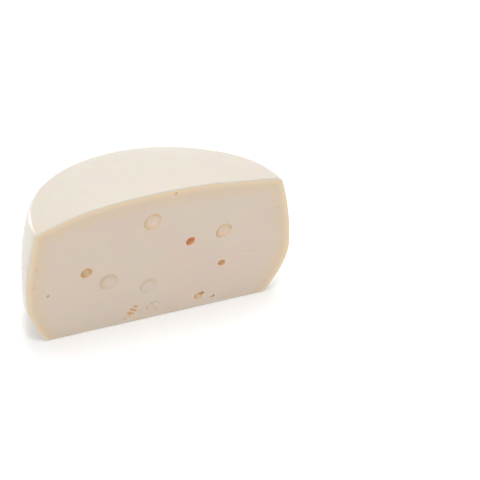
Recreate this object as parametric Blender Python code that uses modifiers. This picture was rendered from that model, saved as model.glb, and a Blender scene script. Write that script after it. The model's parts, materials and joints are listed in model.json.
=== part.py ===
"""Half of a small wheel of baby swiss cheese, resting on its foot with the cut face to the front.

Metres, +Z up, +X along the cut from left to right, the cut face looking along -Y.
The origin is the middle of the half's outline on the surface that it rests on.
"""

import math

import bmesh
import bpy
from mathutils import Matrix, Vector

MM = 0.001

# The wheel that the half is cut from
BELLY_RADIUS = 0.0920
BELLY_HEIGHT = 0.0370
FOOT_RADIUS = 0.0775
RIM_RADIUS = 0.0859
RIM_HEIGHT = 0.0818
CROWN_HEIGHT = 0.0926
LEAN = 0.0042

# How full the curves are: 2 is a parabola, and more is flatter in the middle
FOOT_CURVE = 2.3
SHOULDER_CURVE = 2.2
DOME_CURVE = 2.3

RIM_ROUNDING = 0.0060
FOOT_ROUNDING = 0.0015

# The ends of the rim at the cut: how much higher the right one is and how much lower the left one is than the
# rest, and how far from the axis this begins
RIM_LIFT = 0.0022
RIM_DROP = 0.0014
LIFT_START = 0.0540

# The left end sags outward at the cut: how far, where across it starts and is full, the heights where it
# starts, is full, begins to fade and ends, and how far behind the cut it reaches
SAG = 0.0019
SAG_START = 0.0460
SAG_FULL = 0.0880
SAG_HEIGHTS = (0.0130, 0.0270, 0.0380, 0.0660)
SAG_REACH = 0.0400

# The half is a little shallower, from the cut to the back, than the wheel's radius
HALF_DEPTH = 0.98 * BELLY_RADIUS

# The wheel's axis lies in the cut
AXIS_X = SAG / 2 - LEAN
CUT_Y = -HALF_DEPTH / 2

# Fineness of the solid
HALF_TURN_STEPS = 64
DOME_RINGS = 7
SHOULDER_RINGS = 8
FOOT_RINGS = 8
CORNER_STEPS = 4
MERGE_DISTANCE = 0.00001

# Hollows open in the cut face, in millimetres and degrees:
# across from the wheel's axis, up, width, height, depth, and how far the right end is turned up
EYES = (
    (-1.8, 71.8, 12.8, 11.8, 3.2, 0.0),
    (48.2, 53.8, 12.2, 11.2, 3.4, 0.0),
    (-33.2, 34.4, 14.0, 12.0, 2.2, 0.0),
    (-5.6, 24.8, 13.0, 11.0, 2.0, 0.0),
    (-48.2, 44.4, 8.6, 7.6, 3.8, 0.0),
    (24.4, 51.4, 6.0, 6.6, 3.8, 0.0),
    (46.5, 30.1, 5.4, 4.8, 2.8, 0.0),
    (29.5, 8.2, 6.4, 5.4, 2.0, 0.0),
    (32.4, 10.3, 4.0, 3.2, 2.2, 0.0),
    (-0.8, 9.5, 7.0, 5.0, 1.5, -24.0),
)
PINHOLES = (
    (-74.9, 33.7, 2.4, 2.6, 1.4, 0.0),
    (-12.2, 6.9, 2.2, 2.0, 0.8, 0.0),
    (-7.2, 7.8, 2.2, 4.4, 1.0, 0.0),
    (-14.9, 3.9, 2.0, 2.0, 0.6, 0.0),
    (14.8, 89.1, 3.0, 2.0, 0.8, 0.0),
)
TORN_SLITS = (
    (-16.2, 11.1, 4.8, 1.5, 1.3, -36.0),
    (-17.7, 9.1, 5.8, 1.4, 1.3, -25.0),
    (-18.5, 7.5, 5.0, 1.5, 1.4, -30.0),
    (-20.9, 5.5, 3.2, 1.4, 0.8, -83.0),
    (-1.4, 6.3, 5.6, 2.8, 1.3, 90.0),
    (39.7, 5.4, 4.2, 1.5, 0.9, 4.0),
)

# For each kind of hollow, the sides of its ball and the rings inside its dish
HOLLOWS = (
    ("eye", EYES, 24, 6),
    ("pinhole", PINHOLES, 12, 4),
    ("slit", TORN_SLITS, 12, 4),
)

CHEESE_COLOUR = (0.76, 0.65, 0.50, 1.0)
CHEESE_ROUGHNESS = 0.45
SMOOTH_ANGLE = math.radians(32)


def clear_scene():
    """Removes every object, so that the model starts from nothing."""
    for thing in list(bpy.data.objects):
        bpy.data.objects.remove(thing, do_unlink=True)


def new_collection(name):
    group = bpy.data.collections.new(name)
    bpy.context.scene.collection.children.link(group)
    return group


def move_to(thing, group):
    """Puts an object in one collection alone."""
    for other in list(thing.users_collection):
        other.objects.unlink(thing)
    group.objects.link(thing)


def side_radius(height):
    """Radius of the bulging side: widest at the belly, drawn in at the foot and the rim."""
    if height < BELLY_HEIGHT:
        share = (BELLY_HEIGHT - height) / BELLY_HEIGHT
        return BELLY_RADIUS - (BELLY_RADIUS - FOOT_RADIUS) * share ** FOOT_CURVE
    share = (height - BELLY_HEIGHT) / (RIM_HEIGHT - BELLY_HEIGHT)
    return BELLY_RADIUS - (BELLY_RADIUS - RIM_RADIUS) * share ** SHOULDER_CURVE


def dome_height(radius):
    """Height of the domed top at a distance from the axis."""
    return CROWN_HEIGHT - (CROWN_HEIGHT - RIM_HEIGHT) * (radius / RIM_RADIUS) ** DOME_CURVE


def rounded_corner(before, corner, after, rounding):
    """Points of the arc that rounds a corner between two straight runs."""
    back = (before - corner).normalized()
    ahead = (after - corner).normalized()
    half_angle = back.angle(ahead) / 2
    centre = corner + (back + ahead).normalized() * (rounding / math.sin(half_angle))
    first = (corner + back * (rounding / math.tan(half_angle)) - centre).normalized()
    last = (corner + ahead * (rounding / math.tan(half_angle)) - centre).normalized()
    return [centre + first.slerp(last, step / CORNER_STEPS) * rounding for step in range(CORNER_STEPS + 1)]


def wheel_profile():
    """Section of the wheel as (radius, height), from the crown down the outer side to the foot."""
    dome = []
    for ring in range(DOME_RINGS + 1):
        radius = (RIM_RADIUS - RIM_ROUNDING) * math.sin(math.pi / 2 * ring / DOME_RINGS)
        dome.append(Vector((radius, dome_height(radius))))
    shoulder = []
    for ring in range(1, SHOULDER_RINGS):
        height = RIM_HEIGHT + (BELLY_HEIGHT - RIM_HEIGHT) * ring / SHOULDER_RINGS
        shoulder.append(Vector((side_radius(height), height)))
    lower = []
    for ring in range(FOOT_RINGS):
        height = BELLY_HEIGHT * (1 - ring / FOOT_RINGS)
        lower.append(Vector((side_radius(height), height)))
    middle = Vector((0.0, 0.0))
    rim = rounded_corner(dome[-1], Vector((RIM_RADIUS, RIM_HEIGHT)), shoulder[0], RIM_ROUNDING)
    foot = rounded_corner(lower[-1], Vector((FOOT_RADIUS, 0.0)), middle, FOOT_ROUNDING)
    return dome + rim + shoulder + lower + foot + [middle]


def turned_half(group):
    """The half wheel's rind, turned through half a turn about a standing axis in the cut."""
    section = [(point.x, 0.0, point.y) for point in wheel_profile()]
    links = [(index, index + 1) for index in range(len(section) - 1)]
    mesh = bpy.data.meshes.new("wheel_section")
    mesh.from_pydata(section, links, [])
    half = bpy.data.objects.new("cheese_half", mesh)
    group.objects.link(half)
    turn = half.modifiers.new("Turn", "SCREW")
    turn.axis = "Z"
    turn.angle = math.pi
    turn.steps = HALF_TURN_STEPS
    turn.render_steps = HALF_TURN_STEPS
    turn.use_merge_vertices = True
    turn.merge_threshold = MERGE_DISTANCE
    turn.use_smooth_shade = True
    return half


def set_modifiers(thing):
    """Replaces an object's mesh by the one its modifiers give."""
    graph = bpy.context.evaluated_depsgraph_get()
    mesh = bpy.data.meshes.new_from_object(thing.evaluated_get(graph))
    thing.modifiers.clear()
    thing.data = mesh
    mesh.name = thing.name


def close_cut(half):
    """Closes the open side of the rind with the flat cut face."""
    work = bmesh.new()
    work.from_mesh(half.data)
    bmesh.ops.remove_doubles(work, verts=work.verts, dist=MERGE_DISTANCE)
    edge_of_cut = [edge for edge in work.edges if edge.is_boundary]
    bmesh.ops.holes_fill(work, edges=edge_of_cut, sides=len(edge_of_cut))
    bmesh.ops.recalc_face_normals(work, faces=work.faces)
    work.to_mesh(half.data)
    work.free()


def smooth_share(value, low, high):
    """From 0 below the low value to 1 above the high one, with soft ends."""
    share = min(max((value - low) / (high - low), 0.0), 1.0)
    return share * share * (3 - 2 * share)


def lift_at(beside, height):
    """How far the rim is lifted at a distance right of the axis and a height."""
    most = RIM_LIFT if beside > 0 else -RIM_DROP
    outward = smooth_share(abs(beside), LIFT_START, RIM_RADIUS)
    return most * outward * smooth_share(height, BELLY_HEIGHT, RIM_HEIGHT)


def sag_at(beside, behind, height):
    """How far the left end has sagged outward at a place right of the axis, behind the cut and up."""
    start, full, fade, end = SAG_HEIGHTS
    outward = smooth_share(-beside, SAG_START, SAG_FULL)
    upward = smooth_share(height, start, full) * (1 - smooth_share(height, fade, end))
    return SAG * outward * upward * (1 - smooth_share(behind, 0.0, SAG_REACH))


def place_half(half):
    """Bends the half out of round: lifted ends of the rim, a sagging left end and a lean over the foot."""
    for vertex in half.data.vertices:
        beside, behind, height = vertex.co
        behind *= HALF_DEPTH / BELLY_RADIUS
        leaning = LEAN * smooth_share(height, 0.0, BELLY_HEIGHT)
        vertex.co.x = AXIS_X + beside + leaning - sag_at(beside, behind, height)
        vertex.co.y = CUT_Y + behind
        vertex.co.z = height + lift_at(beside, height)


def as_cutter(name, group):
    """Takes the active object as a cutter, with its size and turn put into its mesh."""
    cutter = bpy.context.object
    cutter.name = name
    cutter.hide_render = True
    cutter.display_type = "WIRE"
    bpy.ops.object.transform_apply(location=False, rotation=True, scale=True)
    move_to(cutter, group)
    return cutter


def hollow(name, sizes, sides, dish_rings, group):
    """A ball that opens a dish of these sizes in the cut face."""
    across, up, width, height, depth = (size * MM for size in sizes[:5])
    slope = math.radians(sizes[5])
    opening = math.sqrt(width * height) / 2
    radius = (opening ** 2 + depth ** 2) / (2 * depth)
    rings = round(dish_rings * math.pi / math.acos(1 - depth / radius))
    centre = (AXIS_X + across, CUT_Y + depth - radius, up)
    bpy.ops.mesh.primitive_uv_sphere_add(segments=sides, ring_count=rings, radius=radius, location=centre)
    pole_to_front = Matrix.Rotation(math.pi / 2, 4, "X")
    stretch = Matrix.Diagonal((width / 2 / opening, 1.0, height / 2 / opening, 1.0))
    tilt = Matrix.Rotation(-slope, 4, "Y")
    bpy.context.object.data.transform(tilt @ stretch @ pole_to_front)
    return as_cutter(name, group)


def open_hollows(group):
    """Cutters for the eyes, the pinholes and the torn slits of the cut face."""
    for kind, places, sides, dish_rings in HOLLOWS:
        for count, sizes in enumerate(places, 1):
            hollow(f"{kind}_{count:02d}", sizes, sides, dish_rings, group)


def cut_away(cheese, cutters):
    """Takes every cutter out of the half in one Boolean."""
    cut = cheese.modifiers.new("Cut", "BOOLEAN")
    cut.operation = "DIFFERENCE"
    cut.operand_type = "COLLECTION"
    cut.collection = cutters
    cut.solver = "EXACT"


def cheese_material():
    paste = bpy.data.materials.new("cheese")
    paste.use_nodes = True
    shader = paste.node_tree.nodes["Principled BSDF"]
    shader.inputs["Base Color"].default_value = CHEESE_COLOUR
    shader.inputs["Roughness"].default_value = CHEESE_ROUGHNESS
    shader.inputs["Metallic"].default_value = 0.0
    paste.diffuse_color = CHEESE_COLOUR
    return paste


def build():
    clear_scene()
    cheese_group = new_collection("baby_swiss_half")
    cutters = new_collection("cutters")
    cheese = turned_half(cheese_group)
    set_modifiers(cheese)
    close_cut(cheese)
    place_half(cheese)
    open_hollows(cutters)
    cut_away(cheese, cutters)
    set_modifiers(cheese)
    cheese.data.materials.clear()
    cheese.data.materials.append(cheese_material())
    cheese.data.shade_smooth()
    cheese.data.set_sharp_from_angle(angle=SMOOTH_ANGLE)


build()
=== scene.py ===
"""Half a small wheel of baby swiss cheese: its rind, its cut face with the eyes, and a plain stage.

Laid out as an add-on and run as a script. Metres, +Z up; the cut face looks along -Y.
"""

import json
import math
from collections import namedtuple

import bmesh
import bpy
from bpy.props import FloatProperty, FloatVectorProperty, IntProperty, PointerProperty
from mathutils import Matrix, Vector, noise

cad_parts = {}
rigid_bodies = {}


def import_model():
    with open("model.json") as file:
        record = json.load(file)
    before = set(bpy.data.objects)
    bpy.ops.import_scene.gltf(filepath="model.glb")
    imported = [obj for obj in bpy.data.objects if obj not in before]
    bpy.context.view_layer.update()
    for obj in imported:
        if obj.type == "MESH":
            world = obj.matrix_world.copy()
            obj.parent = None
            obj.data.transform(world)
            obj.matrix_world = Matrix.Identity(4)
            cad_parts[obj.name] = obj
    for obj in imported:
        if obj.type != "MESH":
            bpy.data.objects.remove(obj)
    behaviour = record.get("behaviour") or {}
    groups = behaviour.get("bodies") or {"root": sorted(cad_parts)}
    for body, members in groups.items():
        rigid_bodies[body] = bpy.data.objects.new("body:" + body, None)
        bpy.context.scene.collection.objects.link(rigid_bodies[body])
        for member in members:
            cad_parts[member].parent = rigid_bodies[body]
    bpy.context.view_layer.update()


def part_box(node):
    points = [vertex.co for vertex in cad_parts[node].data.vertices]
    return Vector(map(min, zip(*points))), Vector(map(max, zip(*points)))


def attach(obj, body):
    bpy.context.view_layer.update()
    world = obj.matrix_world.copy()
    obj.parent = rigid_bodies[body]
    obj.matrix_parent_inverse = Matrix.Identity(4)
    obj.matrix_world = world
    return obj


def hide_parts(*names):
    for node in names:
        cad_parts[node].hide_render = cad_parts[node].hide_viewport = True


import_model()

bl_info = {
    "name": "Baby Swiss Half Wheel",
    "version": (1, 0, 0),
    "blender": (4, 5, 0),
    "location": "View3D > Sidebar > Cheese",
    "description": "Models half a small wheel of baby swiss cheese around its packed part",
    "category": "Object",
}

MM = 0.001
NODE = "cheese_half"
PIECE = "half_wheel"
LOW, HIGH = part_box(NODE)
CUT_Y = LOW.y
HALF_DEPTH = HIGH.y - LOW.y

# How deep the half is as a share of the wheel's radius, and how far apart in metres points may lie that
# count as in one place, or that are merged
DEPTH_SHARE = 0.98
SAME_PLACE = 0.00001
MERGE_DISTANCE = 0.000001

# Where across the sag of the left end starts and is full, and the heights where it starts, is full,
# begins to fade and ends
SAG_ACROSS = (46 * MM, 88 * MM)
SAG_HEIGHTS = (13 * MM, 27 * MM, 38 * MM, 66 * MM)

# The materials' places on the piece
RIND, PASTE, EYE_WALL = range(3)

# A hollow open in the cut face: its middle across from the wheel's axis and up, its width, height and
# depth in millimetres, how many degrees its right end is turned up, how many millimetres its middle bows
# up, and the tone of its wall: 0 for the paste's own, 1 for brown and -1 for the dimples' painted shade
Hollow = namedtuple("Hollow", "across up width height depth slope bow tone")
EYES = (
    Hollow(-1.8, 71.8, 12.8, 10.7, 2.5, 35, 0.0, 0.33),
    Hollow(48.2, 53.8, 12.0, 9.6, 2.6, 30, 0.0, 0.36),
    Hollow(-48.2, 44.3, 8.2, 6.6, 2.4, 15, 0.0, 0.66),
    Hollow(24.4, 51.4, 6.3, 5.1, 2.7, 40, 0.0, 1.14),
    Hollow(46.5, 30.0, 4.8, 4.1, 1.8, 10, 0.0, 0.84),
    Hollow(29.5, 8.2, 5.8, 4.8, 1.6, 0, 0.0, 0.52),
    Hollow(32.4, 9.9, 2.9, 2.5, 1.6, 0, 0.0, 0.95),
)
# The dimples' negative tones paint shade on their upper-left side
DIMPLES = (
    Hollow(-33.3, 34.3, 13.0, 10.8, 1.5, 15, 0.0, -0.50),
    Hollow(-5.7, 24.7, 12.2, 9.6, 0.8, 20, 0.0, -0.46),
    Hollow(-0.8, 9.5, 6.4, 4.4, 0.8, -24, 0.0, -0.30),
)
PINHOLES = (
    Hollow(-74.9, 33.6, 2.1, 2.3, 0.8, 0, 0.0, 0.52),
    Hollow(-12.2, 6.9, 2.2, 2.2, 0.4, 0, 0.0, 0.30),
    Hollow(-7.2, 7.8, 2.6, 4.2, 0.8, 0, 0.0, 0.30),
    Hollow(-14.9, 3.9, 2.2, 2.2, 0.3, 0, 0.0, 0.24),
    Hollow(-23.0, 3.7, 1.8, 2.4, 0.6, 0, 0.0, 0.28),
    Hollow(14.8, 89.1, 3.0, 2.2, 0.2, 0, 0.0, 0.50),
    Hollow(12.8, 86.2, 1.8, 1.2, 0.2, 0, 0.0, 0.16),
    Hollow(-82.2, 54.5, 2.8, 1.6, 0.2, 0, 0.0, 0.42),
    Hollow(-84.3, 41.8, 2.4, 1.8, 0.2, 0, 0.0, 0.44),
    Hollow(-57.0, 5.8, 1.8, 1.2, 0.25, 0, 0.0, 0.20),
    Hollow(-53.0, 4.8, 1.4, 1.2, 0.25, 0, 0.0, 0.20),
)
TORN_SLITS = (
    Hollow(-15.3, 11.0, 3.4, 2.1, 0.8, -32, 0.2, 0.48),
    Hollow(-17.2, 8.8, 5.8, 1.9, 0.8, -25, 0.3, 0.46),
    Hollow(-18.9, 6.8, 5.2, 2.2, 0.8, -24, 0.2, 0.50),
    Hollow(-20.5, 5.0, 4.0, 2.5, 0.6, -83, 0.0, 0.32),
    Hollow(-1.4, 6.3, 5.2, 2.4, 1.1, 90, 0.0, 0.20),
    Hollow(-3.9, 10.9, 1.9, 1.6, 0.5, 0, 0.0, 0.12),
    Hollow(39.7, 5.4, 3.8, 1.1, 0.9, 4, 0.2, 0.40),
    Hollow(40.6, 6.4, 1.6, 1.0, 1.2, 10, 0.0, 0.60),
    Hollow(66.0, 35.3, 12.8, 0.9, 0.12, -11, 0.3, 0.08),
    Hollow(87.6, 64.7, 4.0, 0.9, 0.3, 24, -0.7, 0.22),
)

# A kind of hollow: its lip's rounding in millimetres, the steps round it, the rings down its wall, how
# much deeper it is than the middle towards its steep side, the share of its wall's tone that its floor has
# at a tone of 1, and how much stronger its tone is on its steep side, as painted shade on the upper left
Kind = namedtuple("Kind", "name hollows lip steps rings steep floor_tone side_tone")
KINDS = (
    Kind("eye", EYES, 0.45, 48, 12, 0.45, 0.8, 0.35),
    Kind("dimple", DIMPLES, 0.3, 48, 12, 0.95, 0.2, 1.0),
    Kind("pinhole", PINHOLES, 0.18, 20, 6, 0.0, 4.0, 0.0),
    Kind("slit", TORN_SLITS, 0.22, 32, 7, 0.0, 4.0, 0.0),
)

# The way across and up to the steep side of the eyes and dimples, how full a hollow's bowl is, the most
# that a lip takes of the opening, its steps, how steep it is where it meets the cut, and how far a cutter
# stands out of the cut
STEEP_SIDE = Vector((-0.55, 0.83))
BOWL_FULLNESS = 2.3
LIP_SHARE = 0.18
LIP_STEPS = 6
LIP_SLOPE = math.radians(9)
CUTTER_REACH = 0.3 * MM

# Tone of the hollows, as shares of the opening: how far out it is looked for, where the wall's ring starts
# and is full, and how far the ring spreads in from the steep side as painted shade; then the least share of
# it on the other side, and how strong and how long its patches are
TONE_REACH = 1.5
RING_START = 0.2
RING_FULL = 0.9
RING_SHADE_SPREAD = 0.35
LEAST_TONE = 0.05
TONE_PATCHES = 0.5
TONE_SPAN = 3 * MM

# Fineness of the wheel: the half-round grids in the middle of the top and the base, the steps out to the
# rim, round it, down the side and round the foot, the rim's steps that the corner of the cut takes up, the
# steps round the cut's edge, and the passes that even out a grid
PATCH_RADIUS = 48 * MM
PATCH_COLUMNS = 80
RING_STEPS = 26
RIM_STEPS = 6
SIDE_STEPS = 58
FOOT_STEPS = 4
CORNER_STEPS = 2
EDGE_SEGMENTS = 4
EVENING_PASSES = 20

# How a hollow's outline wanders: the length of the bends, the most as a share of the opening and in all,
# and the seed of its random draws
UNEVEN_SPAN = 6 * MM
UNEVEN_SHARE = 0.06
UNEVEN_MOST = 0.3 * MM
UNEVEN_SEED = 1

# Lengths of the rind's dents and of the knife's steps along X, Y and Z
RIND_DENTS = (26 * MM, 26 * MM, 22 * MM)
RIND_RIPPLES = (9 * MM, 9 * MM, 8 * MM)
KNIFE_STEPS = (70 * MM, 40 * MM, 15 * MM)
KNIFE_STREAKS = (90 * MM, 40 * MM, 4 * MM)
RIPPLE_SHARE = 0.3

# Heights over the foot and distances behind the cut where the dents start and are full, and distances
# behind the cut where the knife's steps begin to fade and end
DENT_HEIGHTS = (0.5 * MM, 5 * MM)
DENTS_BEHIND = (1 * MM, 8 * MM)
STEPS_BEHIND = (2 * MM, 14 * MM)

# Milkiness: how much of the light goes through, the shares of red, green and blue in how far it travels,
# and how far in metres in the cheese and in the darker walls of its eyes
MILKINESS = 1.0
LIGHT_SPREAD = (1.0, 0.62, 0.36)
SPREAD_SCALE = 0.0018
EYE_SPREAD_SCALE = 0.0008

# Values of the noise where a soft patch starts and is full
PATCH_EDGES = (0.34, 0.66)

# Depths under the rind where the deeper and the outer part of the yellower band end and are full. The outer
# part is partly the paste's own yellow and partly painted light for light let through the rind's edge
DEEP_BAND = (16 * MM, 5 * MM)
OUTER_BAND_AND_GLOW = (5.5 * MM, 1.5 * MM)

# Tones at which a hollow's wall has the dimples' painted shade, the paste's own colour, the pale colour
# that paints light into the floors, tan and brown
DIMPLE_PAINTED_SHADE_TONE = -1.0
PASTE_TONE = 0.0
PALE_PAINTED_LIGHT_TONE = 0.1
TAN_TONE = 0.55
BROWN_TONE = 1.0

# Distances from the cut's edge where the painted highlight, a paler line along it, ends and is full, the
# share of them that a distance on the rind counts, and the heights where it starts and is full, as only the
# top edge catches the light
HIGHLIGHT_REACH = (1.0 * MM, 0.4 * MM)
HIGHLIGHT_SHARE = 0.4
HIGHLIGHT_HEIGHTS = (76 * MM, 84 * MM)

# The lights, as the name, the place and the side of the square, and where they all point
LIGHTS = (
    ("overhead", Vector((0.45, 0.6, 1.8)), 1.4),
    ("back", Vector((-0.65, 1.85, 0.42)), 0.42),
    ("front", Vector((-0.27, -0.62, 1.7)), 0.3),
)
LIGHT_AIM = Vector((0.0, 0.0, 0.05))
FLOOR_WHITE = (0.93, 0.93, 0.93, 1.0)

# The camera, measured from the wheel's axis where it meets the floor at the cut
CAMERA_PLACE = Vector((-0.4702, -1.2070, 0.8056))
CAMERA_AIM = Vector((0.0905, 0.0700, 0.0))
SMOOTH_ANGLE = math.radians(40)


class WheelSizes(bpy.types.PropertyGroup):
    """The wheel that the half is cut from."""

    belly_radius: FloatProperty(
        name="Belly radius", description="The wheel's radius where it is widest",
        default=HALF_DEPTH / DEPTH_SHARE, unit="LENGTH",
    )
    belly_height: FloatProperty(
        name="Belly height", description="Height at which the wheel is widest",
        default=0.0370, unit="LENGTH",
    )
    foot_radius: FloatProperty(
        name="Foot radius", description="Radius of the flat that the wheel stands on",
        default=0.0775, unit="LENGTH",
    )
    rim_radius: FloatProperty(
        name="Rim radius", description="Radius where the side meets the top",
        default=0.0859, unit="LENGTH",
    )
    rim_height: FloatProperty(
        name="Rim height", description="Height where the side meets the top",
        default=0.0818, unit="LENGTH",
    )
    crown_height: FloatProperty(
        name="Crown height", description="Height of the middle of the domed top",
        default=HIGH.z, unit="LENGTH",
    )
    lean: FloatProperty(
        name="Lean", description="How far the belly has sagged sideways over the foot",
        default=0.0042, unit="LENGTH",
    )
    foot_curve: FloatProperty(
        name="Foot curve", description="Fullness of the side under the belly", default=2.3,
    )
    shoulder_curve: FloatProperty(
        name="Shoulder curve", description="Fullness of the side over the belly", default=2.2,
    )
    dome_curve: FloatProperty(
        name="Dome curve", description="Flatness of the middle of the top", default=2.3,
    )
    rim_rounding: FloatProperty(
        name="Rim rounding", description="Radius of the rounded rim", default=0.0060, unit="LENGTH",
    )
    rim_lift: FloatProperty(
        name="Rim lift", description="How much higher the rim's right end is than the rest of it",
        default=0.0022, unit="LENGTH",
    )
    rim_drop: FloatProperty(
        name="Rim drop", description="How much lower the rim's left end is than the rest of it",
        default=0.0014, unit="LENGTH",
    )
    lift_start: FloatProperty(
        name="Lift start", description="Distance from the axis where the rim begins to rise or drop",
        default=0.0540, unit="LENGTH",
    )
    sag: FloatProperty(
        name="Sag", description="How far the left end has sagged outward at the cut",
        default=0.0019, unit="LENGTH",
    )
    sag_reach: FloatProperty(
        name="Sag reach", description="How far behind the cut the sag of the left end reaches",
        default=0.0300, unit="LENGTH",
    )
    foot_rounding: FloatProperty(
        name="Foot rounding", description="Radius of the rounded edge of the foot",
        default=0.0015, unit="LENGTH",
    )
    cut_rounding: FloatProperty(
        name="Cut edge", description="Rounding of the edge between the rind and the cut face",
        default=0.0010, unit="LENGTH",
    )
    rind_waviness: FloatProperty(
        name="Rind waviness", description="Height of the rind's soft unevenness",
        default=0.00022, unit="LENGTH",
    )
    cut_waviness: FloatProperty(
        name="Cut waviness", description="Height of the soft steps that the knife left",
        default=0.00010, unit="LENGTH",
    )
    turn_steps: IntProperty(
        name="Turn steps", description="Steps of the half turn", default=160,
    )


class CheeseFinish(bpy.types.PropertyGroup):
    """The colours and gloss of the cheese."""

    rind: FloatVectorProperty(
        name="Rind", description="Cream of the rind", subtype="COLOR",
        default=(0.706, 0.658, 0.560),
    )
    rind_blush: FloatVectorProperty(
        name="Rind blush", description="Pinker patches of the rind", subtype="COLOR",
        default=(0.715, 0.640, 0.560),
    )
    # Painted highlight: the paler line stands in for light caught by the rounded top edge of the cut
    edge_line: FloatVectorProperty(
        name="Edge line", description="Paler line along the edge of the cut", subtype="COLOR",
        default=(0.67, 0.635, 0.565),
    )
    paste: FloatVectorProperty(
        name="Paste", description="Ivory of the cut face", subtype="COLOR",
        default=(0.704, 0.612, 0.516),
    )
    paste_blush: FloatVectorProperty(
        name="Paste blush", description="Pinker patches of the cut face", subtype="COLOR",
        default=(0.713, 0.599, 0.507),
    )
    # Partly the paste's own yellow under the rind and partly painted light for light let through its edge
    outer_band_and_glow: FloatVectorProperty(
        name="Outer band", description="Pale yellow paste right under the rind", subtype="COLOR",
        default=(0.797, 0.668, 0.478),
    )
    deep_band: FloatVectorProperty(
        name="Deep band", description="Warmer paste deeper under the rind", subtype="COLOR",
        default=(0.726, 0.593, 0.449),
    )
    # Painted shade: darkens the upper-left side of the dimples in place of the shade that falls there
    dimple_painted_shade: FloatVectorProperty(
        name="Dimple shade", description="Darkest side of the dimples", subtype="COLOR",
        default=(0.645, 0.525, 0.365),
    )
    # Painted light: lighter than the paste, to make up for the shade on the floors of the hollows
    eye_pale_painted_light: FloatVectorProperty(
        name="Eye pale", description="Floor of the palest eyes", subtype="COLOR",
        default=(0.81, 0.685, 0.56),
    )
    eye_tan: FloatVectorProperty(
        name="Eye tan", description="Wall of a half brown eye", subtype="COLOR",
        default=(0.72, 0.482, 0.235),
    )
    eye_brown: FloatVectorProperty(
        name="Eye brown", description="Wall of the brownest eyes", subtype="COLOR",
        default=(0.75, 0.278, 0.07),
    )


class StageSettings(bpy.types.PropertyGroup):
    """The floor, the lights and the camera."""

    lens: FloatProperty(name="Lens", description="Focal length in millimetres", default=172.75)
    floor_size: FloatProperty(
        name="Floor", description="Side of the square floor", default=8.0, unit="LENGTH",
    )
    floor_glow: FloatProperty(
        name="Floor glow", description="How much the floor glows, to be as white as the photo's",
        default=0.12,
    )
    sky: FloatProperty(name="Sky", description="Strength of the even light all round", default=0.62)
    overhead: FloatProperty(
        name="Overhead", description="Power of the light above and behind, in watts", default=16.5,
    )
    back: FloatProperty(
        name="Back", description="Power of the low light behind on the left, in watts", default=4.0,
    )
    front: FloatProperty(
        name="Front", description="Power of the light above and in front, in watts", default=7.2,
    )


def wheel_sizes():
    """The settings of the wheel."""
    return bpy.context.scene.cheese_wheel


def smooth_share(value, low, high):
    """From 0 below the low value to 1 above the high one, with soft ends."""
    share = min(max((value - low) / (high - low), 0.0), 1.0)
    return share * share * (3 - 2 * share)


def axis_x():
    """The wheel's axis stands in the cut, where the foot's middle is."""
    return wheel_sizes().sag / 2 - wheel_sizes().lean


def side_radius(height):
    """Radius of the bulging side: widest at the belly, drawn in at the foot and the rim."""
    wheel = wheel_sizes()
    if height < wheel.belly_height:
        share = (wheel.belly_height - height) / wheel.belly_height
        return wheel.belly_radius - (wheel.belly_radius - wheel.foot_radius) * share ** wheel.foot_curve
    share = (height - wheel.belly_height) / (wheel.rim_height - wheel.belly_height)
    return wheel.belly_radius - (wheel.belly_radius - wheel.rim_radius) * share ** wheel.shoulder_curve


def dome_height(radius):
    """Height of the domed top at a distance from the axis."""
    wheel = wheel_sizes()
    fall = wheel.crown_height - wheel.rim_height
    return wheel.crown_height - fall * (abs(radius) / wheel.rim_radius) ** wheel.dome_curve


def lean_at(height):
    """How far the wheel has sagged sideways at a height."""
    wheel = wheel_sizes()
    return wheel.lean * smooth_share(height, 0.0, wheel.belly_height)


def lift_at(beside, height):
    """How far the rim is lifted at a distance right of the axis and a height."""
    wheel = wheel_sizes()
    most = wheel.rim_lift if beside > 0 else -wheel.rim_drop
    outward = smooth_share(abs(beside), wheel.lift_start, wheel.rim_radius)
    return most * outward * smooth_share(height, wheel.belly_height, wheel.rim_height)


def sag_at(beside, behind, height):
    """How far the left end has sagged outward at a place right of the axis, behind the cut and up."""
    wheel = wheel_sizes()
    start, full, fade, end = SAG_HEIGHTS
    upward = smooth_share(height, start, full) * (1 - smooth_share(height, fade, end))
    backward = 1 - smooth_share(behind, 0.0, wheel.sag_reach)
    return wheel.sag * smooth_share(-beside, *SAG_ACROSS) * upward * backward


def rounded_corner(before, corner, after, rounding, steps):
    """Points of the arc that rounds a corner between two straight runs."""
    back = (before - corner).normalized()
    ahead = (after - corner).normalized()
    half_angle = back.angle(ahead) / 2
    centre = corner + (back + ahead).normalized() * (rounding / math.sin(half_angle))
    first = (corner + back * (rounding / math.tan(half_angle)) - centre).normalized()
    last = (corner + ahead * (rounding / math.tan(half_angle)) - centre).normalized()
    return [centre + first.slerp(last, step / steps) * rounding for step in range(steps + 1)]


def evenly(first, last, steps):
    """Numbers between two values, without the two."""
    return [first + (last - first) * step / steps for step in range(1, steps)]


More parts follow.
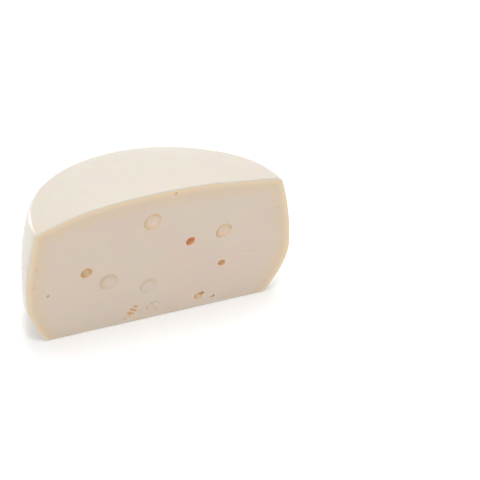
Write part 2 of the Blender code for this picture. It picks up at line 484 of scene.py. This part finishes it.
def outer_profile():
    """The wheel's section from the crown's grid, over the rim and the foot, to the base's grid."""
    wheel = wheel_sizes()
    near = 2 * wheel.foot_rounding
    rim = rounded_corner(
        Vector((wheel.rim_radius - near, dome_height(wheel.rim_radius - near))),
        Vector((wheel.rim_radius, wheel.rim_height)),
        Vector((side_radius(wheel.rim_height - near), wheel.rim_height - near)),
        wheel.rim_rounding, RIM_STEPS,
    )
    foot = rounded_corner(
        Vector((side_radius(near), near)), Vector((wheel.foot_radius, 0.0)), Vector((0.0, 0.0)),
        wheel.foot_rounding, FOOT_STEPS,
    )
    dome = [Vector((radius, dome_height(radius))) for radius in evenly(PATCH_RADIUS, rim[0].x, RING_STEPS)]
    side = [Vector((side_radius(height), height)) for height in evenly(rim[-1].y, foot[0].y, SIDE_STEPS)]
    base = [Vector((radius, 0.0)) for radius in evenly(foot[-1].x, PATCH_RADIUS, RING_STEPS)]
    top_start = Vector((PATCH_RADIUS, dome_height(PATCH_RADIUS)))
    return [top_start] + dome + rim + side + foot + base + [Vector((PATCH_RADIUS, 0.0))]


def start_piece(name, first):
    """A new piece of one point, in edit mode and ready to be extruded along a section."""
    bpy.ops.object.select_all(action="DESELECT")
    bpy.ops.mesh.primitive_plane_add(size=MM)
    piece = bpy.context.object
    piece.name = name
    piece.data.name = name
    bpy.ops.object.mode_set(mode="EDIT")
    bpy.ops.mesh.select_mode(type="VERT")
    bpy.ops.mesh.merge(type="CENTER")
    bpy.ops.transform.translate(value=first)
    return piece


def extrude_along(points):
    """Extrudes the selected point from place to place."""
    for here, there in zip(points, points[1:]):
        bpy.ops.mesh.extrude_region_move(TRANSFORM_OT_translate={"value": there - here})


def select_edges(piece, wanted):
    """In edit mode, selects only the edges that pass a test."""
    bpy.ops.mesh.select_mode(type="EDGE")
    bpy.ops.mesh.select_all(action="DESELECT")
    work = bmesh.from_edit_mesh(piece.data)
    for edge in [edge for edge in work.edges if wanted(edge)]:
        edge.select_set(True)
    bmesh.update_edit_mesh(piece.data)


def in_cut(edge):
    """True of an open or loose edge that lies in the plane of the cut."""
    return not edge.is_manifold and all(abs(end.co.y) < SAME_PLACE for end in edge.verts)


def fill_with_grid(piece, border, corner, columns):
    """Fills a closed border with a grid of faces that starts at one of its corners."""
    select_edges(piece, border)
    work = bmesh.from_edit_mesh(piece.data)
    start = min((vertex for vertex in work.verts if vertex.select), key=lambda v: (v.co - corner).length)
    work.select_history.clear()
    work.select_history.add(start)
    bmesh.update_edit_mesh(piece.data)
    before = len(work.faces)
    bpy.ops.mesh.fill_grid(span=columns)
    if len(bmesh.from_edit_mesh(piece.data).faces) == before:
        raise RuntimeError(f"the border of {piece.name} at {tuple(corner)} was not filled")


def close_patch(piece, height_at):
    """Closes the half-round opening in the middle of the top or the base with a grid."""
    height = height_at(PATCH_RADIUS)
    ends = [Vector((side * PATCH_RADIUS, 0.0, height)) for side in (-1, 1)]
    bpy.ops.mesh.select_mode(type="VERT")
    bpy.ops.mesh.select_all(action="DESELECT")
    work = bmesh.from_edit_mesh(piece.data)
    for vertex in work.verts:
        if any((vertex.co - end).length < SAME_PLACE for end in ends):
            vertex.select_set(True)
    bmesh.update_edit_mesh(piece.data)
    bpy.ops.mesh.edge_face_add()
    bpy.ops.mesh.subdivide(number_cuts=PATCH_COLUMNS - 1)

    def border(edge):
        on_rim = all(abs(end.co.xy.length - PATCH_RADIUS) < SAME_PLACE for end in edge.verts)
        at_height = all(abs(end.co.z - height) < SAME_PLACE for end in edge.verts)
        return at_height and (edge.is_wire or (edge.is_boundary and on_rim))

    fill_with_grid(piece, border, ends[0], PATCH_COLUMNS)
    even_out(piece)
    for vertex in bmesh.from_edit_mesh(piece.data).verts:
        away = vertex.co.xy.length
        if away < PATCH_RADIUS - SAME_PLACE and abs(vertex.co.z - height) < SAME_PLACE:
            vertex.co.z = height_at(away)
    bmesh.update_edit_mesh(piece.data)


def even_out(piece):
    """Evens out the grid that was just filled, apart from its border."""
    bpy.ops.mesh.select_mode(type="VERT")
    work = bmesh.from_edit_mesh(piece.data)
    inside = [
        vertex for vertex in work.verts
        if vertex.select and not vertex.is_boundary and all(face.select for face in vertex.link_faces)
    ]
    bpy.ops.mesh.select_all(action="DESELECT")
    for vertex in inside:
        vertex.select_set(True)
    bmesh.update_edit_mesh(piece.data)
    bpy.ops.mesh.vertices_smooth(factor=0.5, repeat=EVENING_PASSES)


def close_cut(piece):
    """Closes the open side: a flat face, whose edge is rounded all round, then a grid in its place."""
    select_edges(piece, in_cut)
    bpy.ops.mesh.edge_face_add()
    bpy.ops.mesh.select_all(action="SELECT")
    bpy.ops.mesh.normals_make_consistent(inside=False)
    select_edges(piece, lambda edge: any(len(face.verts) > 4 for face in edge.link_faces))
    rounding = wheel_sizes().cut_rounding
    bpy.ops.mesh.bevel(offset=rounding, segments=EDGE_SEGMENTS, clamp_overlap=False)
    bpy.ops.mesh.select_mode(type="FACE")
    bpy.ops.mesh.select_all(action="DESELECT")
    work = bmesh.from_edit_mesh(piece.data)
    max(work.faces, key=lambda face: len(face.verts)).select_set(True)
    bpy.ops.mesh.delete(type="ONLY_FACE")
    corner = outer_profile()[RING_STEPS + CORNER_STEPS]
    columns = PATCH_COLUMNS + 2 * (RING_STEPS + CORNER_STEPS)
    fill_with_grid(piece, in_cut, Vector((rounding - corner.x, 0.0, corner.y - rounding)), columns)
    even_out(piece)
    bpy.ops.transform.resize(value=(1.0, 0.0, 1.0), center_override=(0.0, 0.0, 0.0))


def place_half(piece):
    """Draws the half in from front to back, bends it out of round and puts it behind the cut."""
    bpy.ops.mesh.select_all(action="SELECT")
    bpy.ops.transform.resize(value=(1.0, DEPTH_SHARE, 1.0), center_override=(0.0, 0.0, 0.0))
    bpy.ops.object.mode_set(mode="OBJECT")
    for vertex in piece.data.vertices:
        beside, behind, height = vertex.co
        vertex.co.x += axis_x() + lean_at(height) - sag_at(beside, behind, height)
        vertex.co.y += CUT_Y
        vertex.co.z += lift_at(beside, height)


def turned_body():
    """The half wheel without its hollows: a section turned half round, closed and put in place."""
    section = [Vector((point.x, 0.0, point.y)) for point in outer_profile()]
    piece = start_piece(PIECE, section[0])
    extrude_along(section)
    bpy.ops.mesh.select_all(action="SELECT")
    bpy.ops.mesh.spin(
        steps=wheel_sizes().turn_steps, angle=-math.pi, center=(0.0, 0.0, 0.0), axis=(0.0, 0.0, 1.0),
    )
    bpy.ops.mesh.select_all(action="SELECT")
    bpy.ops.mesh.remove_doubles(threshold=MERGE_DISTANCE)
    close_patch(piece, dome_height)
    close_patch(piece, lambda away: 0.0)
    close_cut(piece)
    place_half(piece)
    return piece


def hollow_section(opening, depth, lip, rings):
    """Section of a hollow as (radius, depth): a soft lip on the cut face, then a full bowl."""
    quarter = math.pi / 2
    lips = []
    for step in range(LIP_STEPS):
        turn = LIP_SLOPE + (quarter - LIP_SLOPE) * step / LIP_STEPS
        lips.append((opening + lip - lip * math.sin(turn), lip * (1 - math.cos(turn))))
    flare = (lips[0][1] + CUTTER_REACH) / math.tan(LIP_SLOPE)
    bowl = [(opening, lip)]
    for turn in evenly(quarter, 0.0, rings):
        out = math.sin(turn) ** (2 / BOWL_FULLNESS)
        down = math.cos(turn) ** (2 / BOWL_FULLNESS)
        bowl.append((opening * out, lip + (depth - lip) * down))
    return [(0.0, -CUTTER_REACH), (lips[0][0] + flare, -CUTTER_REACH), *lips, *bowl, (0.0, depth)]


def steep_side(slope):
    """The steep side of a hollow in its own axes, which are turned by its slope."""
    return Matrix.Rotation(-slope, 2) @ STEEP_SIDE


def middle_of(hollow):
    """Middle of a hollow's opening, in the plane of the cut."""
    return Vector((axis_x() + hollow.across * MM, CUT_Y, hollow.up * MM))


def turned_cutter(name, hollow, kind):
    """A cutter for one hollow: its section turned about an axis square to the cut, bowed and tilted."""
    width, height = hollow.width * MM, hollow.height * MM
    depth, bow = hollow.depth * MM, hollow.bow * MM
    slope = math.radians(hollow.slope)
    opening = math.sqrt(width * height) / 2
    lip = min(kind.lip * MM, LIP_SHARE * opening)
    centre = middle_of(hollow)
    section = [
        centre + Vector((radius, down, 0.0))
        for radius, down in hollow_section(opening, depth, lip, kind.rings)
    ]
    cutter = start_piece(name, section[0])
    extrude_along(section)
    bpy.ops.mesh.select_all(action="SELECT")
    bpy.ops.mesh.spin(steps=kind.steps, angle=2 * math.pi, center=centre, axis=(0.0, 1.0, 0.0))
    bpy.ops.mesh.select_all(action="SELECT")
    bpy.ops.mesh.remove_doubles(threshold=MERGE_DISTANCE)
    stretch = (width / 2 / opening, 1.0, height / 2 / opening)
    bpy.ops.transform.resize(value=stretch, center_override=centre)
    bpy.ops.mesh.normals_make_consistent(inside=False)
    bpy.ops.object.mode_set(mode="OBJECT")
    for vertex in cutter.data.vertices:
        place = vertex.co - centre
        side = 2 * place.x / width
        if place.y > lip:
            to_steep = steep_side(slope).dot((side, 2 * place.z / height))
            place.y += (place.y - lip) * kind.steep * to_steep
        place.z += bow * (1 - side * side)
        vertex.co = centre + Matrix.Rotation(-slope, 3, "Y") @ place
        uneven = noise.noise_vector(vertex.co / UNEVEN_SPAN) * min(opening * UNEVEN_SHARE, UNEVEN_MOST)
        vertex.co += Vector((uneven.x, 0.0, uneven.z))
    return cutter


def open_hollows(piece):
    """Takes the eyes, the dimples, the pinholes and the torn slits out of the cut face in one Boolean."""
    cutters = bpy.data.collections.new("cutters")
    bpy.context.scene.collection.children.link(cutters)
    for kind in KINDS:
        for count, hollow in enumerate(kind.hollows, 1):
            cutter = turned_cutter(f"{kind.name}_{count:02d}", hollow, kind)
            for group in list(cutter.users_collection):
                group.objects.unlink(cutter)
            cutters.objects.link(cutter)
    bpy.ops.object.select_all(action="DESELECT")
    piece.select_set(True)
    bpy.context.view_layer.objects.active = piece
    cut = piece.modifiers.new("Hollows", "BOOLEAN")
    cut.operation = "DIFFERENCE"
    cut.operand_type = "COLLECTION"
    cut.collection = cutters
    cut.solver = "EXACT"
    bpy.ops.object.modifier_apply(modifier=cut.name)
    for cutter in list(cutters.objects):
        bpy.data.objects.remove(cutter, do_unlink=True)
    bpy.data.collections.remove(cutters)


def tone_in(hollow, kind, place):
    """Tone that one hollow gives to a place: full on its wall, less on its floor, none outside, with
    painted shade up left.
    """
    down = place.y - CUT_Y
    slope = math.radians(hollow.slope)
    offset = (place - middle_of(hollow)) / MM
    offset.rotate(Matrix.Rotation(slope, 3, "Y"))
    side = 2 * offset.x / hollow.width
    place_in_eye = Vector((side, 2 * (offset.z - hollow.bow * (1 - side * side)) / hollow.height))
    deepest = hollow.depth * (1 + kind.steep) + kind.lip
    if place_in_eye.length >= TONE_REACH or down / MM >= deepest:
        return 0.0
    to_steep = steep_side(slope).dot(place_in_eye)
    # Towards the steep upper-left side the ring spreads in and the tone grows: painted shade over the
    # wall's own tone
    ring = smooth_share(place_in_eye.length + RING_SHADE_SPREAD * to_steep, RING_START, RING_FULL)
    floor = min(kind.floor_tone * abs(hollow.tone), 1.0)
    wall = (floor + (1 - floor) * ring) * max(1 + kind.side_tone * to_steep, LEAST_TONE)
    return hollow.tone * wall * smooth_share(down, 0.0, kind.lip * MM)


def eye_tone(place):
    """The strongest tone that a hollow gives to a place, in faint patches, and 0 on the cut face."""
    if place.y - CUT_Y < SAME_PLACE:
        return 0.0
    strongest = max((tone_in(hollow, kind, place) for kind in KINDS for hollow in kind.hollows), key=abs)
    return strongest * (1 + TONE_PATCHES * noise.noise(place / TONE_SPAN))


def rind_depth(place):
    """How deep a place lies under the rind."""
    wheel = wheel_sizes()
    beside = place.x - axis_x() - lean_at(place.z)
    beside += sag_at(beside, place.y - CUT_Y, place.z)
    away = math.hypot(beside, (place.y - CUT_Y) / DEPTH_SHARE)
    unlifted = place.z - lift_at(beside, place.z)
    height = min(max(unlifted, 0.0), wheel.rim_height)
    return max(min(side_radius(height) - away, dome_height(away) - unlifted), 0.0)


def mark_cheese(piece):
    """Writes each point's depth, distance from the cut's edge and tone, and gives faces their materials."""
    mesh = piece.data
    places = [vertex.co for vertex in mesh.vertices]
    tone_at = [eye_tone(place) for place in places]
    depth_at = [rind_depth(place) for place in places]
    edge_at = [max(depth, HIGHLIGHT_SHARE * (place.y - CUT_Y)) for depth, place in zip(depth_at, places)]
    for name, values in (("rind_depth", depth_at), ("edge_distance", edge_at), ("eye_tone", tone_at)):
        mesh.attributes.new(name, "FLOAT", "POINT").data.foreach_set("value", values)
    for face in mesh.polygons:
        if all(mesh.vertices[index].co.y < CUT_Y + SAME_PLACE for index in face.vertices):
            face.material_index = PASTE
        elif any(tone_at[index] for index in face.vertices):
            face.material_index = EYE_WALL
        else:
            face.material_index = RIND


def wave(place, span):
    """A smooth random height from -1 to 1 with bumps of the given length along each axis."""
    return noise.noise(Vector((place.x / span[0], place.y / span[1], place.z / span[2])))


def make_uneven(piece):
    """Gives the rind its soft dents, and the cut face the faint steps that the knife left."""
    wheel = wheel_sizes()
    normals = [vertex.normal.copy() for vertex in piece.data.vertices]
    for vertex, outward in zip(piece.data.vertices, normals):
        behind = vertex.co.y - CUT_Y
        dents = wave(vertex.co, RIND_DENTS) + RIPPLE_SHARE * wave(vertex.co, RIND_RIPPLES)
        steps = wave(vertex.co, KNIFE_STEPS) + RIPPLE_SHARE * wave(vertex.co, KNIFE_STREAKS)
        near_cut = 1 - smooth_share(behind, *STEPS_BEHIND)
        on_rind = smooth_share(behind, *DENTS_BEHIND) * smooth_share(vertex.co.z, *DENT_HEIGHTS)
        if vertex.co.z > SAME_PLACE:
            vertex.co += outward * dents * wheel.rind_waviness * on_rind
        vertex.co.y += steps * wheel.cut_waviness * near_cut


def add_node(tree, kind, place, values=None, **settings):
    """Adds a node to a tree, with its settings and the values of its inputs."""
    node = tree.nodes.new(kind)
    node.location = place
    for name, value in settings.items():
        setattr(node, name, value)
    for socket, value in (values or {}).items():
        node.inputs[socket].default_value = value
    return node


def new_group(name, inputs, outputs):
    """A shader node group with named inputs and outputs, and its two end nodes."""
    tree = bpy.data.node_groups.new(name, "ShaderNodeTree")
    for socket, kind, value in inputs:
        made = tree.interface.new_socket(socket, in_out="INPUT", socket_type=kind)
        if value is not None:
            made.default_value = value
    for socket, kind in outputs:
        tree.interface.new_socket(socket, in_out="OUTPUT", socket_type=kind)
    return tree, add_node(tree, "NodeGroupInput", (-900, 0)), add_node(tree, "NodeGroupOutput", (700, 0))


def soft_patches_group():
    """Faint cloudy patches of a given size, as a mask from 0 to 1."""
    tree, start, end = new_group(
        "soft_patches",
        [("Vector", "NodeSocketVector", None), ("Patches per Metre", "NodeSocketFloat", 40.0),
         ("Detail", "NodeSocketFloat", 2.0)],
        [("Mask", "NodeSocketFloat")],
    )
    cloud = add_node(tree, "ShaderNodeTexNoise", (-500, 0), {"Roughness": 0.55})
    spread = add_node(
        tree, "ShaderNodeMapRange", (0, 0), {"From Min": PATCH_EDGES[0], "From Max": PATCH_EDGES[1]},
        interpolation_type="SMOOTHSTEP",
    )
    tree.links.new(start.outputs["Vector"], cloud.inputs["Vector"])
    tree.links.new(start.outputs["Patches per Metre"], cloud.inputs["Scale"])
    tree.links.new(start.outputs["Detail"], cloud.inputs["Detail"])
    tree.links.new(cloud.outputs["Fac"], spread.inputs["Value"])
    tree.links.new(spread.outputs["Result"], end.inputs["Mask"])
    return tree


def surface_grain_group():
    """Height of a fine grain over a soft unevenness, in metres."""
    tree, start, end = new_group(
        "surface_grain",
        [("Vector", "NodeSocketVector", None), ("Grains per Metre", "NodeSocketFloat", 1400.0),
         ("Grain Height", "NodeSocketFloat", 0.00001), ("Swells per Metre", "NodeSocketFloat", 160.0),
         ("Swell Height", "NodeSocketFloat", 0.00004)],
        [("Height", "NodeSocketFloat")],
    )
    heights = []
    for row, (count, height, detail) in enumerate(
        (("Grains per Metre", "Grain Height", 3.0), ("Swells per Metre", "Swell Height", 1.0))
    ):
        pattern = add_node(tree, "ShaderNodeTexNoise", (-500, -300 * row), {"Detail": detail})
        raised = add_node(tree, "ShaderNodeMath", (-200, -300 * row), operation="MULTIPLY")
        tree.links.new(start.outputs["Vector"], pattern.inputs["Vector"])
        tree.links.new(start.outputs[count], pattern.inputs["Scale"])
        tree.links.new(pattern.outputs["Fac"], raised.inputs[0])
        tree.links.new(start.outputs[height], raised.inputs[1])
        heights.append(raised)
    total = add_node(tree, "ShaderNodeMath", (200, 0), operation="ADD")
    for socket, raised in zip(total.inputs, heights):
        tree.links.new(raised.outputs["Value"], socket)
    tree.links.new(total.outputs["Value"], end.inputs["Height"])
    return tree


def mix_colours(tree, place, share, first, second):
    """Mixes two colours, each a socket or a plain colour, by a share from a socket."""
    mix = add_node(tree, "ShaderNodeMix", place, data_type="RGBA", clamp_factor=True)
    tree.links.new(share, mix.inputs["Factor"])
    for socket, colour in ((mix.inputs[6], first), (mix.inputs[7], second)):
        if isinstance(colour, bpy.types.NodeSocket):
            tree.links.new(colour, socket)
        else:
            socket.default_value = (*colour, 1.0)
    return mix.outputs[2]


def soft_range(tree, place, value, reach):
    """A mask that goes softly from 0 at the first value of a reach to 1 at its second."""
    ramp = add_node(
        tree, "ShaderNodeMapRange", place, {"From Min": reach[0], "From Max": reach[1]},
        interpolation_type="SMOOTHSTEP",
    )
    tree.links.new(value, ramp.inputs["Value"])
    return ramp.outputs["Result"]


def painted_edge_highlight_group(finish):
    """Lays a painted highlight, the paler line along the top edge of the cut, over a colour."""
    tree, start, end = new_group(
        "edge_line",
        [("Vector", "NodeSocketVector", None), ("Color", "NodeSocketColor", None)],
        [("Color", "NodeSocketColor")],
    )
    distance = add_node(tree, "ShaderNodeAttribute", (-900, -200), attribute_name="edge_distance")
    axes = add_node(tree, "ShaderNodeSeparateXYZ", (-700, -400))
    near = soft_range(tree, (-500, -200), distance.outputs["Fac"], HIGHLIGHT_REACH)
    high = soft_range(tree, (-500, -400), axes.outputs["Z"], HIGHLIGHT_HEIGHTS)
    highlight = add_node(tree, "ShaderNodeMath", (-200, -300), operation="MULTIPLY")
    tree.links.new(start.outputs["Vector"], axes.inputs["Vector"])
    tree.links.new(near, highlight.inputs[0])
    tree.links.new(high, highlight.inputs[1])
    highlighted = mix_colours(tree, (100, 0), highlight.outputs["Value"], start.outputs["Color"], finish.edge_line)
    tree.links.new(highlighted, end.inputs["Color"])
    return tree


def paste_colour_group(finish, patches):
    """Colour of the cheese inside: ivory with faint pink patches, and yellower in a band under the rind,
    partly as painted light.
    """
    tree, start, end = new_group(
        "paste_colour",
        [("Vector", "NodeSocketVector", None), ("Depth", "NodeSocketFloat", 0.02)],
        [("Color", "NodeSocketColor")],
    )
    clouds = add_node(tree, "ShaderNodeGroup", (-600, 200), node_tree=patches)
    clouds.inputs["Patches per Metre"].default_value = 24.0
    tree.links.new(start.outputs["Vector"], clouds.inputs["Vector"])
    colour = mix_colours(tree, (-300, 200), clouds.outputs["Mask"], finish.paste, finish.paste_blush)
    for row, (reach, tint) in enumerate(((DEEP_BAND, finish.deep_band), (OUTER_BAND_AND_GLOW, finish.outer_band_and_glow))):
        share = soft_range(tree, (-600, -200 - 300 * row), start.outputs["Depth"], reach)
        colour = mix_colours(tree, (300 * row, 0), share, colour, tint)
    tree.links.new(colour, end.inputs["Color"])
    return tree


def cheese_shader(name, gloss, spread_scale=SPREAD_SCALE):
    """A new material with a milky Principled shader, and its Object coordinates."""
    material = bpy.data.materials.new(name)
    material.use_nodes = True
    tree = material.node_tree
    shader = tree.nodes["Principled BSDF"]
    shader.location = (500, 0)
    tree.nodes["Material Output"].location = (800, 0)
    shader.inputs["Subsurface Weight"].default_value = MILKINESS
    shader.inputs["Subsurface Radius"].default_value = LIGHT_SPREAD
    shader.inputs["Subsurface Scale"].default_value = spread_scale
    for socket, value in gloss.items():
        shader.inputs[socket].default_value = value
    coordinates = add_node(tree, "ShaderNodeTexCoord", (-900, 0))
    return material, tree, shader, coordinates.outputs["Object"]


def add_grain(tree, shader, place, grain, values):
    """Gives a shader the surface grain as its bump."""
    relief = add_node(tree, "ShaderNodeGroup", (-300, -500), values, node_tree=grain)
    bump = add_node(tree, "ShaderNodeBump", (100, -500), {"Strength": 1.0, "Distance": 1.0})
    tree.links.new(place, relief.inputs["Vector"])
    tree.links.new(relief.outputs["Height"], bump.inputs["Height"])
    tree.links.new(bump.outputs["Normal"], shader.inputs["Normal"])


def vary_roughness(tree, shader, share, smoothest, roughest):
    """Lets the roughness follow a mask between two values."""
    gloss = add_node(
        tree, "ShaderNodeMapRange", (100, -200), {"To Min": smoothest, "To Max": roughest},
    )
    tree.links.new(share, gloss.inputs["Value"])
    tree.links.new(gloss.outputs["Result"], shader.inputs["Roughness"])


def rind_material(finish, patches, grain, edge_line):
    """Cream rind with faint pinker patches, a waxy sheen and a painted highlight along the cut's top edge.
    """
    material, tree, shader, place = cheese_shader(
        "baby_swiss_rind", {"Specular IOR Level": 0.5, "Coat Weight": 0.55, "Coat Roughness": 0.24},
    )
    clouds = add_node(tree, "ShaderNodeGroup", (-600, 200), {"Patches per Metre": 46.0}, node_tree=patches)
    tree.links.new(place, clouds.inputs["Vector"])
    colour = mix_colours(tree, (-200, 200), clouds.outputs["Mask"], finish.rind, finish.rind_blush)
    highlight = add_node(tree, "ShaderNodeGroup", (100, 200), node_tree=edge_line)
    tree.links.new(place, highlight.inputs["Vector"])
    tree.links.new(colour, highlight.inputs["Color"])
    tree.links.new(highlight.outputs["Color"], shader.inputs["Base Color"])
    vary_roughness(tree, shader, clouds.outputs["Mask"], 0.40, 0.52)
    add_grain(tree, shader, place, grain, {
        "Grains per Metre": 1100.0, "Grain Height": 0.000014, "Swells per Metre": 170.0,
        "Swell Height": 0.00006,
    })
    return material


def paste_material(paste_colour, patches, grain, edge_line):
    """Satin ivory cut face, yellower near the rind partly as painted light, with a painted highlight on its
    top edge.
    """
    material, tree, shader, place = cheese_shader("baby_swiss_paste", {"Specular IOR Level": 0.5})
    depth = add_node(tree, "ShaderNodeAttribute", (-900, -300), attribute_name="rind_depth")
    inside = add_node(tree, "ShaderNodeGroup", (-600, 200), node_tree=paste_colour)
    clouds = add_node(tree, "ShaderNodeGroup", (-600, -100), {"Patches per Metre": 60.0}, node_tree=patches)
    tree.links.new(place, inside.inputs["Vector"])
    tree.links.new(place, clouds.inputs["Vector"])
    tree.links.new(depth.outputs["Fac"], inside.inputs["Depth"])
    highlight = add_node(tree, "ShaderNodeGroup", (100, 200), node_tree=edge_line)
    tree.links.new(place, highlight.inputs["Vector"])
    tree.links.new(inside.outputs["Color"], highlight.inputs["Color"])
    tree.links.new(highlight.outputs["Color"], shader.inputs["Base Color"])
    vary_roughness(tree, shader, clouds.outputs["Mask"], 0.34, 0.46)
    add_grain(tree, shader, place, grain, {
        "Grains per Metre": 900.0, "Grain Height": 0.000010, "Swells per Metre": 220.0,
        "Swell Height": 0.00002,
    })
    return material


def eye_material(finish, paste_colour, grain):
    """Moist wall of the hollows, from ivory with painted light over tan to orange brown, or in the dimples'
    painted shade.
    """
    material, tree, shader, place = cheese_shader(
        "baby_swiss_eye_wall",
        {"Specular IOR Level": 0.5, "Roughness": 0.30, "Coat Weight": 0.35, "Coat Roughness": 0.12},
        EYE_SPREAD_SCALE,
    )
    depth = add_node(tree, "ShaderNodeAttribute", (-900, -300), attribute_name="rind_depth")
    tone = add_node(tree, "ShaderNodeAttribute", (-900, -500), attribute_name="eye_tone")
    inside = add_node(tree, "ShaderNodeGroup", (-600, 200), node_tree=paste_colour)
    tree.links.new(place, inside.inputs["Vector"])
    tree.links.new(depth.outputs["Fac"], inside.inputs["Depth"])
    colour = inside.outputs["Color"]
    steps = (
        (PASTE_TONE, DIMPLE_PAINTED_SHADE_TONE, finish.dimple_painted_shade), (PASTE_TONE, PALE_PAINTED_LIGHT_TONE, finish.eye_pale_painted_light),
        (PALE_PAINTED_LIGHT_TONE, TAN_TONE, finish.eye_tan), (TAN_TONE, BROWN_TONE, finish.eye_brown),
    )
    for row, (start, full, tint) in enumerate(steps):
        share = add_node(
            tree, "ShaderNodeMapRange", (-600, -200 - 250 * row), {"From Min": start, "From Max": full},
        )
        tree.links.new(tone.outputs["Fac"], share.inputs["Value"])
        colour = mix_colours(tree, (250 * row - 300, 200), share.outputs["Result"], colour, tint)
    tree.links.new(colour, shader.inputs["Base Color"])
    add_grain(tree, shader, place, grain, {
        "Grains per Metre": 700.0, "Grain Height": 0.000012, "Swells per Metre": 300.0,
        "Swell Height": 0.00003,
    })
    return material


def pale_floor(stage):
    """A large plain white floor."""
    bpy.ops.mesh.primitive_plane_add(size=stage.floor_size)
    floor = bpy.context.object
    floor.name = "floor"
    paint = bpy.data.materials.new("pale_floor")
    paint.use_nodes = True
    shader = paint.node_tree.nodes["Principled BSDF"]
    shader.inputs["Base Color"].default_value = FLOOR_WHITE
    shader.inputs["Roughness"].default_value = 0.7
    shader.inputs["Emission Color"].default_value = (1.0, 1.0, 1.0, 1.0)
    shader.inputs["Emission Strength"].default_value = stage.floor_glow
    floor.data.materials.append(paint)


def area_light(name, place, size, power):
    """A square softbox that points at the cheese."""
    lamp = bpy.data.lights.new(name, "AREA")
    lamp.size = size
    lamp.energy = power
    light = bpy.data.objects.new(name, lamp)
    light.location = place
    light.rotation_mode = "QUATERNION"
    light.rotation_quaternion = (LIGHT_AIM - place).to_track_quat("-Z", "Y")
    bpy.context.scene.collection.objects.link(light)


def white_world(strength):
    """Even white light from all round."""
    world = bpy.data.worlds.new("white_room")
    world.use_nodes = True
    background = world.node_tree.nodes["Background"]
    background.inputs["Color"].default_value = (1.0, 1.0, 1.0, 1.0)
    background.inputs["Strength"].default_value = strength
    bpy.context.scene.world = world


def photo_camera(stage):
    """The camera at the viewing angle of the photograph."""
    axis = Vector((axis_x(), CUT_Y, 0.0))
    view = bpy.data.cameras.new("camera")
    view.lens = stage.lens
    view.sensor_width = 36.0
    view.clip_start = 0.05
    view.clip_end = 20.0
    camera = bpy.data.objects.new("camera", view)
    camera.location = axis + CAMERA_PLACE
    camera.rotation_mode = "QUATERNION"
    camera.rotation_quaternion = (CAMERA_AIM - CAMERA_PLACE).to_track_quat("-Z", "Y")
    bpy.context.scene.collection.objects.link(camera)
    bpy.context.scene.camera = camera


class CHEESE_OT_half_wheel(bpy.types.Operator):
    """Model the half wheel and take its eyes and other hollows out of the cut face"""

    bl_idname = "cheese.half_wheel"
    bl_label = "Half Wheel"

    def execute(self, context):
        noise.seed_set(UNEVEN_SEED)
        piece = turned_body()
        open_hollows(piece)
        mark_cheese(piece)
        make_uneven(piece)
        bpy.ops.object.shade_smooth_by_angle(angle=SMOOTH_ANGLE)
        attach(piece, "root")
        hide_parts(NODE)
        return {"FINISHED"}


class CHEESE_OT_finish(bpy.types.Operator):
    """Give the rind, the cut face and the walls of the eyes their materials"""

    bl_idname = "cheese.finish"
    bl_label = "Finish"

    def execute(self, context):
        finish = context.scene.cheese_finish
        patches = soft_patches_group()
        grain = surface_grain_group()
        edge_line = painted_edge_highlight_group(finish)
        paste_colour = paste_colour_group(finish, patches)
        slots = bpy.data.objects[PIECE].data.materials
        slots.append(rind_material(finish, patches, grain, edge_line))
        slots.append(paste_material(paste_colour, patches, grain, edge_line))
        slots.append(eye_material(finish, paste_colour, grain))
        return {"FINISHED"}


class CHEESE_OT_stage(bpy.types.Operator):
    """Add the floor, the lights and the camera"""

    bl_idname = "cheese.stage"
    bl_label = "Stage"

    def execute(self, context):
        stage = context.scene.cheese_stage
        pale_floor(stage)
        white_world(stage.sky)
        for name, place, size in LIGHTS:
            area_light(name, place, size, getattr(stage, name))
        photo_camera(stage)
        context.scene.view_settings.view_transform = "Standard"
        return {"FINISHED"}


class CHEESE_PT_panel(bpy.types.Panel):
    """Buttons and settings of the half wheel"""

    bl_idname = "CHEESE_PT_panel"
    bl_label = "Baby Swiss Half Wheel"
    bl_space_type = "VIEW_3D"
    bl_region_type = "UI"
    bl_category = "Cheese"

    def draw(self, context):
        for group in (context.scene.cheese_wheel, context.scene.cheese_finish, context.scene.cheese_stage):
            box = self.layout.box()
            for name in group.bl_rna.properties.keys():
                if name not in ("rna_type", "name"):
                    box.prop(group, name)
        for operator in OPERATORS:
            self.layout.operator(operator.bl_idname)


OPERATORS = (CHEESE_OT_half_wheel, CHEESE_OT_finish, CHEESE_OT_stage)
CLASSES = (WheelSizes, CheeseFinish, StageSettings, *OPERATORS, CHEESE_PT_panel)


def register():
    for kind in CLASSES:
        bpy.utils.register_class(kind)
    bpy.types.Scene.cheese_wheel = PointerProperty(type=WheelSizes)
    bpy.types.Scene.cheese_finish = PointerProperty(type=CheeseFinish)
    bpy.types.Scene.cheese_stage = PointerProperty(type=StageSettings)


def unregister():
    del bpy.types.Scene.cheese_stage
    del bpy.types.Scene.cheese_finish
    del bpy.types.Scene.cheese_wheel
    for kind in reversed(CLASSES):
        bpy.utils.unregister_class(kind)


def main():
    register()
    bpy.ops.cheese.half_wheel()
    bpy.ops.cheese.finish()
    bpy.ops.cheese.stage()


if __name__ == "__main__":
    main()
